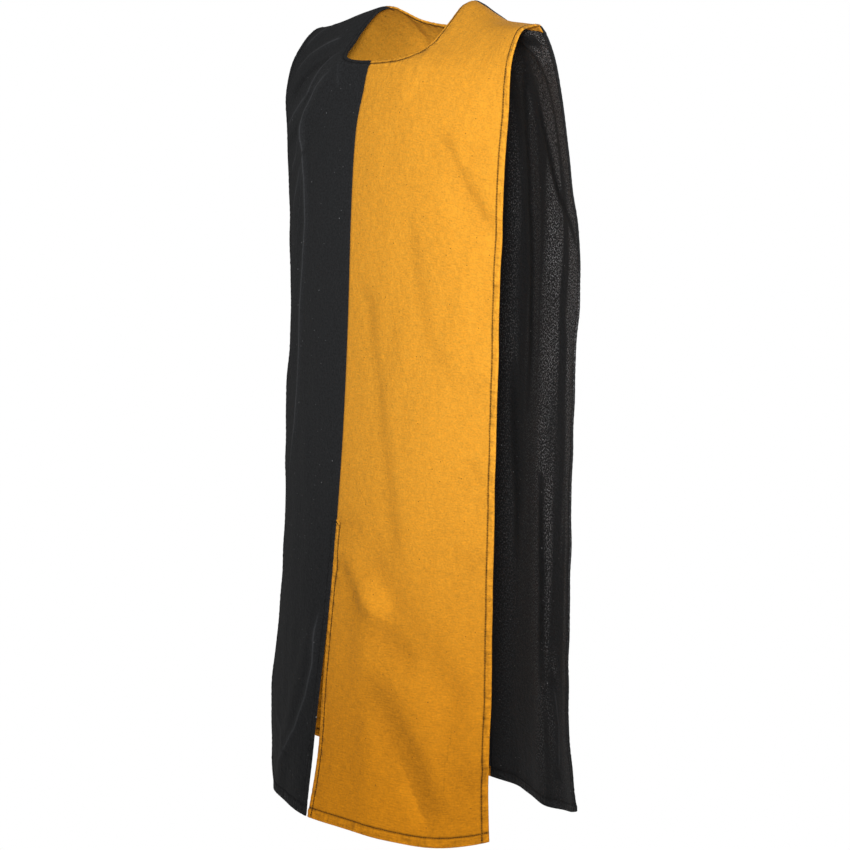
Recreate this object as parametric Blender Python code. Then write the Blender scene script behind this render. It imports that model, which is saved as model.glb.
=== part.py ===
"""A quartered tabard of four cotton panels, gold and black by turns, hanging as it is worn.

Metres, +Z up. The wearer faces -Y, and the wearer's left is +X. The origin is the middle
of the shoulder ridge, where the wearer's shoulders hold the garment up.

Each panel is a thin closed shell. A point on it is found from two cloth measures: across,
from the centre seam out to the side edge, and down, from the shoulder seam to the hem.
"""

import math
from collections import namedtuple

import bmesh
import bpy
from mathutils import Vector

# Driving dimensions
PANEL_WIDTH = 0.270
LENGTH = 1.074
NECK_HALF_WIDTH = 0.092
CLOTH_THICKNESS = 0.0015
HEM_THICKNESS = 0.0025
HEM_WIDTH = 0.012
SEAM_GAP = 0.0003

# How the cloth hangs between the tables' places. A fall, fade or side value is the power
# of the share of the panel's width, so a higher one keeps its effect nearer to one edge.
SIDE_BOW = 0.05
CENTRE_ROUND = 0.15
SHOULDER_BLEND = 0.200
SHOULDER_FALL = 1.6
SLIT_FADE = 3
HEM_DIP_START = 0.850
HEM_DIP_SIDE = 2
CENTRE_FADE = 0.050
SHOULDER_FADE = 0.040

# How the grid of faces is laid over a panel. The first NECK_SHARE of its columns start on
# the neck edge, and all of them have fanned out evenly by FAN_SHARE of the way down.
COLUMNS = 14
ROWS = 30
ROW_SPREAD = 1.2
NECK_SHARE = 0.5
FAN_SHARE = 0.35
FAN_START = 0.6
PROBE = 0.002
SHARP_ANGLE = 50

# Side views: one row per level, from the shoulder seam down to the hem. The centre columns
# are the centre seam, the left and right ones are the two side edges, and round says how
# the panel turns between them, from 1 for a straight line to 2 for a round front.
Section = namedtuple(
    "Section",
    "down centre_y centre_z left_x left_y left_z right_x right_y right_z round",
)
FRONT_SECTIONS = [
    Section(0.000, 0.000, 0.000, 0.231, 0.000, -0.035, 0.253, 0.000, -0.024, 2.0),
    Section(0.015, -0.0135, -0.0055, 0.237, -0.0145, -0.0355, 0.252, -0.0135, -0.0285, 2.0),
    Section(0.040, -0.031, -0.022, 0.245, -0.040, -0.042, 0.250, -0.032, -0.044, 2.0),
    Section(0.080, -0.060, -0.050, 0.250, -0.057, -0.070, 0.250, -0.050, -0.074, 2.0),
    Section(0.120, -0.091, -0.074, 0.250, -0.062, -0.107, 0.250, -0.058, -0.110, 2.0),
    Section(0.160, -0.103, -0.113, 0.250, -0.064, -0.145, 0.250, -0.060, -0.147, 2.1),
    Section(0.210, -0.114, -0.162, 0.250, -0.068, -0.192, 0.250, -0.058, -0.195, 2.2),
    Section(0.300, -0.121, -0.252, 0.250, -0.073, -0.277, 0.250, -0.055, -0.280, 2.2),
    Section(0.450, -0.127, -0.402, 0.250, -0.077, -0.419, 0.250, -0.055, -0.421, 2.0),
    Section(0.600, -0.136, -0.552, 0.250, -0.081, -0.561, 0.250, -0.064, -0.562, 1.9),
    Section(0.750, -0.150, -0.701, 0.250, -0.084, -0.704, 0.250, -0.066, -0.702, 1.8),
    Section(0.900, -0.167, -0.850, 0.250, -0.086, -0.845, 0.250, -0.079, -0.842, 1.6),
    Section(1.000, -0.177, -0.949, 0.250, -0.090, -0.942, 0.250, -0.090, -0.934, 1.5),
    Section(LENGTH, -0.191, -1.028, 0.250, -0.088, -1.018, 0.250, -0.088, -1.001, 1.45),
]
BACK_SECTIONS = [
    Section(0.000, 0.000, 0.000, 0.231, 0.000, -0.035, 0.253, 0.000, -0.024, 2.0),
    Section(0.015, 0.0145, -0.0015, 0.237, 0.004, -0.046, 0.252, 0.004, -0.037, 2.0),
    Section(0.040, 0.037, -0.011, 0.245, 0.008, -0.070, 0.250, 0.008, -0.062, 2.0),
    Section(0.080, 0.068, -0.033, 0.250, 0.015, -0.110, 0.250, 0.015, -0.102, 2.0),
    Section(0.120, 0.088, -0.066, 0.250, 0.022, -0.150, 0.250, 0.021, -0.146, 2.0),
    Section(0.180, 0.104, -0.125, 0.250, 0.031, -0.212, 0.250, 0.028, -0.210, 2.0),
    Section(0.250, 0.112, -0.195, 0.250, 0.042, -0.276, 0.250, 0.034, -0.274, 2.0),
    Section(0.330, 0.113, -0.275, 0.250, 0.047, -0.346, 0.250, 0.034, -0.344, 2.0),
    Section(0.450, 0.108, -0.395, 0.250, 0.040, -0.448, 0.250, 0.030, -0.447, 1.9),
    Section(0.600, 0.102, -0.545, 0.250, 0.036, -0.586, 0.250, 0.022, -0.585, 1.8),
    Section(0.800, 0.098, -0.745, 0.250, 0.034, -0.768, 0.250, 0.008, -0.767, 1.7),
    Section(0.950, 0.098, -0.895, 0.250, 0.034, -0.895, 0.251, -0.008, -0.890, 1.6),
    Section(LENGTH, 0.101, -1.020, 0.250, 0.048, -1.002, 0.253, -0.018, -0.998, 1.5),
]

# The shoulder ridge: the share of the drop to the shoulder tip that is reached at each place
Ridge = namedtuple("Ridge", "across left right")
RIDGE = [
    Ridge(0.000, 0.12, 0.06),
    Ridge(NECK_HALF_WIDTH, 0.12, 0.06),
    Ridge(0.105, 0.00, 0.00),
    Ridge(0.130, 0.20, 0.14),
    Ridge(0.160, 0.52, 0.34),
    Ridge(0.190, 0.78, 0.58),
    Ridge(0.230, 0.90, 0.84),
    Ridge(PANEL_WIDTH, 1.00, 1.00),
]

# The neck edge from the shoulder seam to the centre seam, as a share of its own course
NeckPoint = namedtuple("NeckPoint", "share across down")
FRONT_NECK = [
    NeckPoint(0.00, NECK_HALF_WIDTH, 0.000),
    NeckPoint(0.18, 0.097, 0.026),
    NeckPoint(0.36, 0.099, 0.056),
    NeckPoint(0.55, 0.092, 0.088),
    NeckPoint(0.75, 0.066, 0.109),
    NeckPoint(0.90, 0.030, 0.116),
    NeckPoint(1.00, 0.000, 0.118),
]
BACK_NECK = [
    NeckPoint(0.00, NECK_HALF_WIDTH, 0.000),
    NeckPoint(0.20, 0.092, 0.020),
    NeckPoint(0.45, 0.078, 0.045),
    NeckPoint(0.75, 0.042, 0.060),
    NeckPoint(1.00, 0.000, 0.064),
]

# The front slit: how far each edge stands off the centre line at each level
SlitOpening = namedtuple("SlitOpening", "down left right")
SLIT = [
    SlitOpening(0.700, 0.000, 0.000),
    SlitOpening(0.850, 0.001, 0.002),
    SlitOpening(0.930, 0.002, 0.006),
    SlitOpening(0.980, 0.003, 0.009),
    SlitOpening(1.030, 0.002, 0.008),
    SlitOpening(LENGTH, 0.000, 0.004),
]

# The largest folds, as soft ridges (height above 0) and troughs between two cloth points
Fold = namedtuple("Fold", "from_across from_down to_across to_down width height")
FOLDS = {
    "front_left": [
        Fold(0.210, 0.270, 0.265, 0.310, 0.022, -0.003),
        Fold(0.076, 0.750, 0.205, 0.890, 0.030, -0.005),
        Fold(0.073, 0.800, 0.114, LENGTH, 0.026, 0.005),
        Fold(0.205, 0.900, 0.225, LENGTH, 0.026, -0.004),
    ],
    "front_right": [
        Fold(0.080, 0.130, 0.160, 0.200, 0.022, 0.004),
        Fold(0.160, 0.200, 0.190, 0.500, 0.026, 0.004),
        Fold(0.172, 0.070, 0.235, 0.120, 0.022, 0.003),
        Fold(0.100, 0.195, 0.235, 0.240, 0.024, -0.003),
        Fold(0.030, 0.850, 0.134, LENGTH, 0.026, 0.004),
    ],
    "back_left": [
        Fold(0.040, 0.200, 0.050, LENGTH, 0.034, 0.005),
        Fold(0.125, 0.260, 0.160, LENGTH, 0.036, -0.006),
        Fold(0.215, 0.450, 0.210, LENGTH, 0.030, 0.005),
    ],
    "back_right": [
        Fold(0.050, 0.220, 0.070, LENGTH, 0.034, 0.005),
        Fold(0.140, 0.240, 0.165, LENGTH, 0.036, -0.005),
        Fold(0.225, 0.400, 0.220, LENGTH, 0.030, 0.004),
    ],
}

# Each hem hangs lowest part of the way to its side edge
Face = namedtuple("Face", "sections neck seam_y hem_dip")
FACES = {
    "front": Face(FRONT_SECTIONS, FRONT_NECK, -SEAM_GAP / 2, 0.013),
    "back": Face(BACK_SECTIONS, BACK_NECK, SEAM_GAP / 2, 0.008),
}

# The quarters: which face, which side (+1 is the wearer's left) and which cloth
Panel = namedtuple("Panel", "name face side cloth")
PANELS = [
    Panel("front_right", "front", -1, "black_cotton"),
    Panel("front_left", "front", 1, "gold_cotton"),
    Panel("back_right", "back", -1, "gold_cotton"),
    Panel("back_left", "back", 1, "black_cotton"),
]

# The two cloths
Finish = namedtuple("Finish", "colour roughness metallic")
FINISHES = {
    "gold_cotton": Finish((0.830, 0.385, 0.045, 1.0), 0.85, 0.0),
    "black_cotton": Finish((0.020, 0.020, 0.022, 1.0), 0.80, 0.0),
}


def smooth_step(share):
    """0 to 1 with a level start and end."""
    share = min(max(share, 0.0), 1.0)
    return share * share * (3 - 2 * share)


def rounded(share, power):
    """A power of a share that also starts level at the centre seam."""
    return (share**2 + CENTRE_ROUND**2) ** (power / 2) - CENTRE_ROUND**power


def slopes_of(rows, column):
    """The slope at each row of a table, from its neighbours."""
    slopes = []
    for index in range(len(rows)):
        before = rows[max(index - 1, 0)]
        after = rows[min(index + 1, len(rows) - 1)]
        rise = getattr(after, column) - getattr(before, column)
        slopes.append(rise / (after[0] - before[0]))
    return slopes


def read_table(rows, column, place):
    """A smooth curve through one column of a table, at a place along its first column."""
    place = min(max(place, rows[0][0]), rows[-1][0])
    index = 0
    while index < len(rows) - 2 and place > rows[index + 1][0]:
        index += 1
    slopes = slopes_of(rows, column)
    low, high = getattr(rows[index], column), getattr(rows[index + 1], column)
    span = rows[index + 1][0] - rows[index][0]
    t = (place - rows[index][0]) / span
    return (
        (2 * t**3 - 3 * t**2 + 1) * low
        + (t**3 - 2 * t**2 + t) * span * slopes[index]
        + (3 * t**2 - 2 * t**3) * high
        + (t**3 - t**2) * span * slopes[index + 1]
    )


def draped_point(panel, across, down):
    """Where a point of the cloth hangs, before its folds."""
    face = FACES[panel.face]
    side = "left" if panel.side > 0 else "right"
    share = across / PANEL_WIDTH
    section = {name: read_table(face.sections, name, down) for name in Section._fields[1:]}

    x = section[side + "_x"] * share * (1 + SIDE_BOW * (1 - share**2))
    if panel.face == "front":
        x += read_table(SLIT, side, down) * (1 - share) ** SLIT_FADE

    turn = rounded(share, section["round"]) / rounded(1.0, section["round"])
    y = section["centre_y"] + (section[side + "_y"] - section["centre_y"]) * turn

    low = smooth_step(down / SHOULDER_BLEND)
    fall = (1 - low) * read_table(RIDGE, side, across) + low * share**SHOULDER_FALL
    z = section["centre_z"] + (section[side + "_z"] - section["centre_z"]) * fall
    near_hem = smooth_step((down - HEM_DIP_START) / (LENGTH - HEM_DIP_START))
    z -= near_hem * face.hem_dip * math.sin(math.pi * share**HEM_DIP_SIDE)
    return Vector((panel.side * (x + SEAM_GAP / 2), y + face.seam_y, z))


def inward(panel, across, down):
    """The direction from the cloth's outer side to its inner side."""
    across = min(across, PANEL_WIDTH - PROBE)
    down = min(down, LENGTH - PROBE)
    start = draped_point(panel, across, down)
    along = draped_point(panel, across + PROBE, down) - start
    below = draped_point(panel, across, down + PROBE) - start
    turn = 1 if (panel.face == "front") == (panel.side > 0) else -1
    return turn * along.cross(below).normalized()


def fold_height(panel, across, down):
    """How far the folds lift the cloth there. They fade at the centre and shoulder seams."""
    height = 0.0
    for fold in FOLDS[panel.name]:
        start = Vector((fold.from_across, fold.from_down))
        run = Vector((fold.to_across, fold.to_down)) - start
        reach = Vector((across, down)) - start
        share = min(max(reach.dot(run) / run.length_squared, 0.0), 1.0)
        gap = (reach - run * share).length
        height += fold.height * math.exp(-((gap / fold.width) ** 2))
    return height * smooth_step(across / CENTRE_FADE) * smooth_step(down / SHOULDER_FADE)


def cloth_place(face, column_share, row_share):
    """(across, down) at a share of the panel's columns and rows. The columns start along
    the neck edge and the shoulder seam, and even out on their way down."""
    if column_share <= NECK_SHARE:
        course = 1 - column_share / NECK_SHARE
        top_across = read_table(face.neck, "across", course)
        top_down = read_table(face.neck, "down", course)
    else:
        course = (column_share - NECK_SHARE) / (1 - NECK_SHARE)
        top_across = NECK_HALF_WIDTH + (PANEL_WIDTH - NECK_HALF_WIDTH) * course
        top_down = 0.0
    even = math.sin(math.pi / 2 * min(row_share / FAN_SHARE, 1.0) ** FAN_START)
    across = top_across + (PANEL_WIDTH * column_share - top_across) * even
    return across, top_down + (LENGTH - top_down) * row_share


def spread(step, steps, hem, power=1.0):
    """The share of one grid line. The first and the last strip are as wide as a hem."""
    if step in (0, steps):
        return step / steps
    return hem + (1 - 2 * hem) * ((step - 1) / (steps - 2)) ** power


def shell_points(panel, column, row):
    """A grid point's outer and inner places. Hems and seams are thicker, on the inside."""
    face = FACES[panel.face]
    column_share = spread(column, COLUMNS, HEM_WIDTH / PANEL_WIDTH)
    row_share = spread(row, ROWS, HEM_WIDTH / LENGTH, ROW_SPREAD)
    across, down = cloth_place(face, column_share, row_share)
    direction = inward(panel, across, down)
    outer = draped_point(panel, across, down) - direction * fold_height(panel, across, down)
    if column == 0:
        direction.x = 0.0
    if row == 0 and column_share >= NECK_SHARE:
        direction.y = 0.0
    at_border = column in (0, COLUMNS) or row in (0, ROWS)
    thickness = HEM_THICKNESS if at_border else CLOTH_THICKNESS
    return outer, outer + direction.normalized() * thickness


def panel_mesh(panel):
    """The panel's closed shell: a grid laid over the form, with a second side inside it."""
    shell = bmesh.new()
    grid = bmesh.ops.create_grid(shell, x_segments=COLUMNS, y_segments=ROWS, size=0.5)
    inner_places = {}
    for vertex in grid["verts"]:
        column = round((vertex.co.x + 0.5) * COLUMNS)
        row = round((vertex.co.y + 0.5) * ROWS)
        vertex.co, inner = shell_points(panel, column, row)
        inner_places[vertex.co.copy().freeze()] = inner
    inside = bmesh.ops.extrude_face_region(shell, geom=shell.faces[:])
    for vertex in inside["geom"]:
        if isinstance(vertex, bmesh.types.BMVert):
            vertex.co = inner_places[vertex.co.copy().freeze()]
    bmesh.ops.recalc_face_normals(shell, faces=shell.faces[:])
    mesh = bpy.data.meshes.new(panel.name)
    shell.to_mesh(mesh)
    shell.free()
    mesh.shade_smooth()
    mesh.set_sharp_from_angle(angle=math.radians(SHARP_ANGLE))
    return mesh


def cloth_material(panel):
    """The panel's own matt cotton."""
    finish = FINISHES[panel.cloth]
    material = bpy.data.materials.new(panel.name + "_" + panel.cloth)
    material.use_nodes = True
    shader = material.node_tree.nodes["Principled BSDF"]
    shader.inputs["Base Color"].default_value = finish.colour
    shader.inputs["Roughness"].default_value = finish.roughness
    shader.inputs["Metallic"].default_value = finish.metallic
    return material


def clear_scene():
    """Remove what the scene holds at the start."""
    for item in list(bpy.data.objects):
        bpy.data.objects.remove(item, do_unlink=True)


def main():
    """Hang the four panels from one shoulder ridge."""
    clear_scene()
    shoulders = bpy.data.objects.new("shoulders", None)
    bpy.context.scene.collection.objects.link(shoulders)
    for panel in PANELS:
        quarter = bpy.data.objects.new(panel.name, panel_mesh(panel))
        quarter.data.materials.append(cloth_material(panel))
        quarter.parent = shoulders
        bpy.context.scene.collection.objects.link(quarter)


main()
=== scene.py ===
"""A quartered gold and black cotton tabard, hanging open at both sides as it is worn.

Metres, +Z up. The wearer faces -Y, and the wearer's left is +X. Each quarter is a fine closed
shell of cloth. A point on it has two cloth measures: across, from the centre seam out to the
side edge, and down, from the shoulder seam to the hem.
"""

import logging
import math
from dataclasses import dataclass, field
from enum import Enum
from typing import Any, Sequence

import bmesh
import bpy
import numpy as np
from mathutils import Matrix, Vector


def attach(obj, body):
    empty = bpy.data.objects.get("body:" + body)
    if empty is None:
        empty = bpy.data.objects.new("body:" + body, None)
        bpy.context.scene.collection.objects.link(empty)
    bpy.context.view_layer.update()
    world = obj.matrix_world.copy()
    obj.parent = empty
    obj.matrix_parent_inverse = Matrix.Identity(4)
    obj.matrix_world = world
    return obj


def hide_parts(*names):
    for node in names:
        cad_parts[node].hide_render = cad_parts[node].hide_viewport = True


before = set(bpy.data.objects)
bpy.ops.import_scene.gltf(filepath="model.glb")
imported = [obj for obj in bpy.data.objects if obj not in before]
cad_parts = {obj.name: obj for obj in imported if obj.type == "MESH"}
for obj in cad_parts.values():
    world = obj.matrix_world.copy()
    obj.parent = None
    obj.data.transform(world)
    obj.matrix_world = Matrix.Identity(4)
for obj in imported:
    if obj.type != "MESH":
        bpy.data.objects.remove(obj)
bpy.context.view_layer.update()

BODY = "root"
LOG = logging.getLogger("tabard")

Array = np.ndarray
Colour = tuple[float, float, float]
Place = tuple[float, float, float]
ClothPoint = tuple[float, float]
Span = tuple[float, float]
FAR = 1e9


class Face(Enum):
    """Which face of the garment a quarter hangs on."""

    FRONT = "front"
    BACK = "back"


class Side(Enum):
    """Which side of the wearer a quarter hangs on. The value is the sign of its X."""

    RIGHT = -1
    LEFT = 1


class Layer(Enum):
    """The two sides of the cloth."""

    OUTER = "outer"
    INNER = "inner"


def smooth_step(share: Array) -> Array:
    """0 to 1 with a level start and end.

    Args:
        share: How far along each place is, from 0 to 1.

    Returns:
        The smoothed shares.
    """
    share = np.clip(share, 0.0, 1.0)
    return share * share * (3 - 2 * share)


def bump_at(gap: Array, width: float) -> Array:
    """A soft bump, 1 where the gap is 0, that has faded by about twice its width."""
    return np.exp(-((gap / width) ** 2))


def ripple(places: Array, period: float, phase: float) -> Array:
    """An uneven wave along a line, about -1 to 1.

    Args:
        places: Distances along the line.
        period: The length of its main wave.
        phase: Where the wave starts, so that no two edges look alike.

    Returns:
        The wave's height at each place.
    """
    turns = 2 * math.pi * places / period
    main = np.sin(turns + phase)
    short = 0.55 * np.sin(1.63 * turns + 2.1 * phase)
    long = 0.45 * np.sin(0.58 * turns + 3.3 * phase)
    usual_peak = 1.6
    return (main + short + long) / usual_peak


@dataclass(frozen=True)
class Table:
    """Rows of measures with named columns. The first column is the place of each row."""

    columns: tuple[str, ...]
    rows: tuple[tuple[float, ...], ...]

    def read(self, column: str, places: Array) -> Array:
        """A smooth curve through one column.

        Args:
            column: The column's name.
            places: Places along the first column.

        Returns:
            The column's value at each place.
        """
        grid = np.array(self.rows)
        knots = grid[:, 0]
        values = grid[:, self.columns.index(column)]
        before = np.maximum(np.arange(len(knots)) - 1, 0)
        after = np.minimum(np.arange(len(knots)) + 1, len(knots) - 1)
        slopes = (values[after] - values[before]) / (knots[after] - knots[before])
        places = np.clip(places, knots[0], knots[-1])
        index = np.clip(np.searchsorted(knots, places) - 1, 0, len(knots) - 2)
        span = knots[index + 1] - knots[index]
        t = (places - knots[index]) / span
        return (
            (2 * t**3 - 3 * t**2 + 1) * values[index]
            + (t**3 - 2 * t**2 + t) * span * slopes[index]
            + (3 * t**2 - 2 * t**3) * values[index + 1]
            + (t**3 - t**2) * span * slopes[index + 1]
        )


@dataclass(frozen=True)
class Cut:
    """The sizes that the cloth is cut and sewn to."""

    width: float = 0.270
    length: float = 1.074
    neck_half_width: float = 0.092
    seam_gap: float = 0.0003
    slit_top: float = 0.700
    side_stitch: float = 0.009
    hem_stitch: float = 0.012
    neck_stitch: float = 0.005
    slit_stitch: float = 0.0085
    cloth: float = 0.0009
    turned: float = 0.0018


CUT = Cut()

SECTION_COLUMNS = (
    "down", "centre_y", "centre_z", "left_x", "left_y", "left_z",
    "right_x", "right_y", "right_z", "round",
)
FRONT_SECTIONS = Table(SECTION_COLUMNS, (
    (0.000, 0.000, 0.000, 0.231, 0.000, -0.035, 0.253, 0.000, -0.024, 2.0),
    (0.015, -0.0135, -0.0055, 0.237, -0.0145, -0.0355, 0.252, -0.0135, -0.0285, 2.0),
    (0.040, -0.031, -0.022, 0.245, -0.040, -0.042, 0.250, -0.032, -0.044, 2.0),
    (0.080, -0.060, -0.050, 0.250, -0.057, -0.070, 0.250, -0.050, -0.074, 2.0),
    (0.120, -0.091, -0.074, 0.250, -0.062, -0.107, 0.250, -0.058, -0.110, 2.0),
    (0.160, -0.103, -0.113, 0.250, -0.064, -0.145, 0.250, -0.060, -0.147, 2.1),
    (0.210, -0.114, -0.162, 0.250, -0.068, -0.192, 0.250, -0.058, -0.195, 2.2),
    (0.300, -0.121, -0.252, 0.250, -0.073, -0.277, 0.250, -0.055, -0.280, 2.2),
    (0.450, -0.127, -0.402, 0.250, -0.077, -0.419, 0.250, -0.055, -0.421, 2.0),
    (0.600, -0.136, -0.552, 0.250, -0.081, -0.561, 0.250, -0.064, -0.562, 1.9),
    (0.750, -0.150, -0.701, 0.250, -0.084, -0.704, 0.250, -0.066, -0.702, 1.8),
    (0.900, -0.167, -0.850, 0.250, -0.086, -0.845, 0.250, -0.079, -0.842, 1.6),
    (1.000, -0.177, -0.949, 0.250, -0.090, -0.942, 0.250, -0.090, -0.934, 1.5),
    (1.074, -0.191, -1.028, 0.250, -0.088, -1.018, 0.250, -0.088, -1.001, 1.45),
))
BACK_SECTIONS = Table(SECTION_COLUMNS, (
    (0.000, 0.000, 0.000, 0.231, 0.000, -0.035, 0.253, 0.000, -0.024, 2.0),
    (0.015, 0.0145, -0.0015, 0.237, 0.004, -0.046, 0.252, 0.004, -0.037, 2.0),
    (0.040, 0.037, -0.011, 0.245, 0.008, -0.070, 0.250, 0.008, -0.062, 2.0),
    (0.080, 0.068, -0.033, 0.250, 0.015, -0.110, 0.250, 0.015, -0.102, 2.0),
    (0.120, 0.088, -0.066, 0.250, 0.022, -0.150, 0.250, 0.021, -0.146, 2.0),
    (0.180, 0.104, -0.125, 0.250, 0.031, -0.212, 0.250, 0.028, -0.210, 2.0),
    (0.250, 0.112, -0.195, 0.250, 0.042, -0.276, 0.250, 0.034, -0.274, 2.0),
    (0.330, 0.113, -0.275, 0.250, 0.047, -0.346, 0.250, 0.034, -0.344, 2.0),
    (0.450, 0.108, -0.395, 0.250, 0.040, -0.448, 0.250, 0.030, -0.447, 1.9),
    (0.600, 0.102, -0.545, 0.250, 0.036, -0.586, 0.250, 0.022, -0.585, 1.8),
    (0.800, 0.098, -0.745, 0.250, 0.034, -0.768, 0.250, 0.008, -0.767, 1.7),
    (0.950, 0.098, -0.895, 0.250, 0.034, -0.895, 0.251, -0.008, -0.890, 1.6),
    (1.074, 0.101, -1.020, 0.250, 0.048, -1.002, 0.253, -0.018, -0.998, 1.5),
))
RIDGE = Table(("across", "left", "right"), (
    (0.000, 0.12, 0.06),
    (0.092, 0.12, 0.06),
    (0.105, 0.00, 0.00),
    (0.130, 0.20, 0.14),
    (0.160, 0.52, 0.34),
    (0.190, 0.78, 0.58),
    (0.230, 0.90, 0.84),
    (0.270, 1.00, 1.00),
))
FRONT_NECK = Table(("share", "across", "down"), (
    (0.00, 0.092, 0.000),
    (0.18, 0.097, 0.026),
    (0.36, 0.099, 0.056),
    (0.55, 0.092, 0.088),
    (0.75, 0.066, 0.109),
    (0.90, 0.030, 0.116),
    (1.00, 0.000, 0.118),
))
BACK_NECK = Table(("share", "across", "down"), (
    (0.00, 0.092, 0.000),
    (0.20, 0.092, 0.020),
    (0.45, 0.078, 0.045),
    (0.75, 0.042, 0.060),
    (1.00, 0.000, 0.064),
))
SLIT = Table(("down", "left", "right"), (
    (0.700, 0.000, 0.000),
    (0.850, 0.001, 0.002),
    (0.930, 0.002, 0.006),
    (0.980, 0.003, 0.009),
    (1.030, 0.002, 0.008),
    (1.074, 0.000, 0.004),
))


@dataclass(frozen=True)
class Fold:
    """A soft ridge, or a trough if its height is below 0, along a path on the cloth."""

    path: tuple[ClothPoint, ...]
    width: float
    height: float
    tapered: bool = True
    taper_share: float = 0.20

    def measure(self, across: Array, down: Array) -> tuple[Array, Array]:
        """How far each place is from the path.

        Args:
            across: Cloth measures from the centre seam.
            down: Cloth measures from the shoulder seam.

        Returns:
            The distance from the path, below 0 on one side of it, and the share of the path
            at its nearest point.
        """
        gap = np.full(across.shape, FAR)
        share = np.zeros(across.shape)
        runs = len(self.path) - 1
        for index in range(runs):
            start, end = np.array(self.path[index]), np.array(self.path[index + 1])
            run = end - start
            reach_x, reach_y = across - start[0], down - start[1]
            along = np.clip((reach_x * run[0] + reach_y * run[1]) / run.dot(run), 0.0, 1.0)
            here = np.hypot(reach_x - along * run[0], reach_y - along * run[1])
            here = np.where(run[0] * reach_y < run[1] * reach_x, -here, here)
            nearer = np.abs(here) < np.abs(gap)
            gap = np.where(nearer, here, gap)
            share = np.where(nearer, (index + along) / runs, share)
        return gap, share

    def taper(self, share: Array) -> Array:
        """How far the fold has risen at each share of its path.

        Args:
            share: Shares of the path, from 0 to 1.

        Returns:
            0 where the fold runs out and 1 where it has its full height.
        """
        if not self.tapered:
            return np.ones(share.shape)
        return smooth_step(share / self.taper_share) * smooth_step((1 - share) / self.taper_share)

    def lift(self, across: Array, down: Array) -> Array:
        """How far the fold lifts the cloth at each place."""
        gap, share = self.measure(across, down)
        return self.height * bump_at(gap, self.width) * self.taper(share)


@dataclass(frozen=True)
class Drape:
    """The form that one quarter hangs in, before its small creases."""

    face: Face
    side: Side
    cut: Cut = CUT
    side_bow: float = 0.05
    centre_round: float = 0.15
    shoulder_blend: float = 0.200
    shoulder_fall: float = 1.6
    slit_fade: float = 3.0
    hem_dip_start: float = 0.850
    hem_dip_side: float = 2.0
    front_hem_dip: float = 0.013
    back_hem_dip: float = 0.008
    probe: float = 0.001

    @property
    def sections(self) -> Table:
        """The levels that the form runs through."""
        return FRONT_SECTIONS if self.face is Face.FRONT else BACK_SECTIONS

    @property
    def neck(self) -> Table:
        """The neck edge from the shoulder seam to the centre seam."""
        return FRONT_NECK if self.face is Face.FRONT else BACK_NECK

    @property
    def hem_dip(self) -> float:
        """How far the hem hangs below a level line."""
        return self.front_hem_dip if self.face is Face.FRONT else self.back_hem_dip

    @property
    def seam_y(self) -> float:
        """How far the shoulder seam's edge stands off its middle."""
        return self.cut.seam_gap / 2 * (-1 if self.face is Face.FRONT else 1)

    def rounded(self, share: Array, power: Array) -> Array:
        """A power of a share that also starts level at the centre seam."""
        least = self.centre_round
        return (share**2 + least**2) ** (power / 2) - least**power

    def place(self, across: Array, down: Array) -> Array:
        """Where points of the cloth hang.

        Args:
            across: Cloth measures from the centre seam.
            down: Cloth measures from the shoulder seam.

        Returns:
            One row of X, Y and Z for each point.
        """
        side = self.side.name.lower()
        share = across / self.cut.width
        read = {name: self.sections.read(name, down) for name in SECTION_COLUMNS[1:]}
        x = read[side + "_x"] * share * (1 + self.side_bow * (1 - share**2))
        if self.face is Face.FRONT:
            x = x + SLIT.read(side, down) * np.clip(1 - share, 0.0, 1.0) ** self.slit_fade
        turn = self.rounded(share, read["round"])
        turn = turn / self.rounded(np.ones_like(share), read["round"])
        y = read["centre_y"] + (read[side + "_y"] - read["centre_y"]) * turn
        low = smooth_step(down / self.shoulder_blend)
        fall = (1 - low) * RIDGE.read(side, across)
        fall = fall + low * np.clip(share, 0.0, None) ** self.shoulder_fall
        z = read["centre_z"] + (read[side + "_z"] - read["centre_z"]) * fall
        near_hem = (down - self.hem_dip_start) / (self.cut.length - self.hem_dip_start)
        dip = self.hem_dip * np.sin(math.pi * share**self.hem_dip_side)
        z = z - smooth_step(near_hem) * dip
        x = self.side.value * (x + self.cut.seam_gap / 2)
        return np.stack([x, y + self.seam_y, z], axis=-1)

    def inward(self, across: Array, down: Array) -> Array:
        """The directions from the cloth's outer side to its inner side.

        Args:
            across: Cloth measures from the centre seam.
            down: Cloth measures from the shoulder seam.

        Returns:
            One unit vector for each point.
        """
        step = self.probe
        across = np.clip(across, step, self.cut.width - step)
        down = np.clip(down, step, self.cut.length - step)
        along = self.place(across + step, down) - self.place(across - step, down)
        below = self.place(across, down + step) - self.place(across, down - step)
        normal = np.cross(along, below)
        if (self.face is Face.FRONT) != (self.side is Side.LEFT):
            normal = -normal
        return normal / np.linalg.norm(normal, axis=-1, keepdims=True)

    def neck_course(self, points: int) -> tuple[Array, Array]:
        """Cloth measures of points along the neck edge, from the shoulder to the centre."""
        share = np.linspace(0.0, 1.0, points)
        return self.neck.read("across", share), self.neck.read("down", share)


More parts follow.
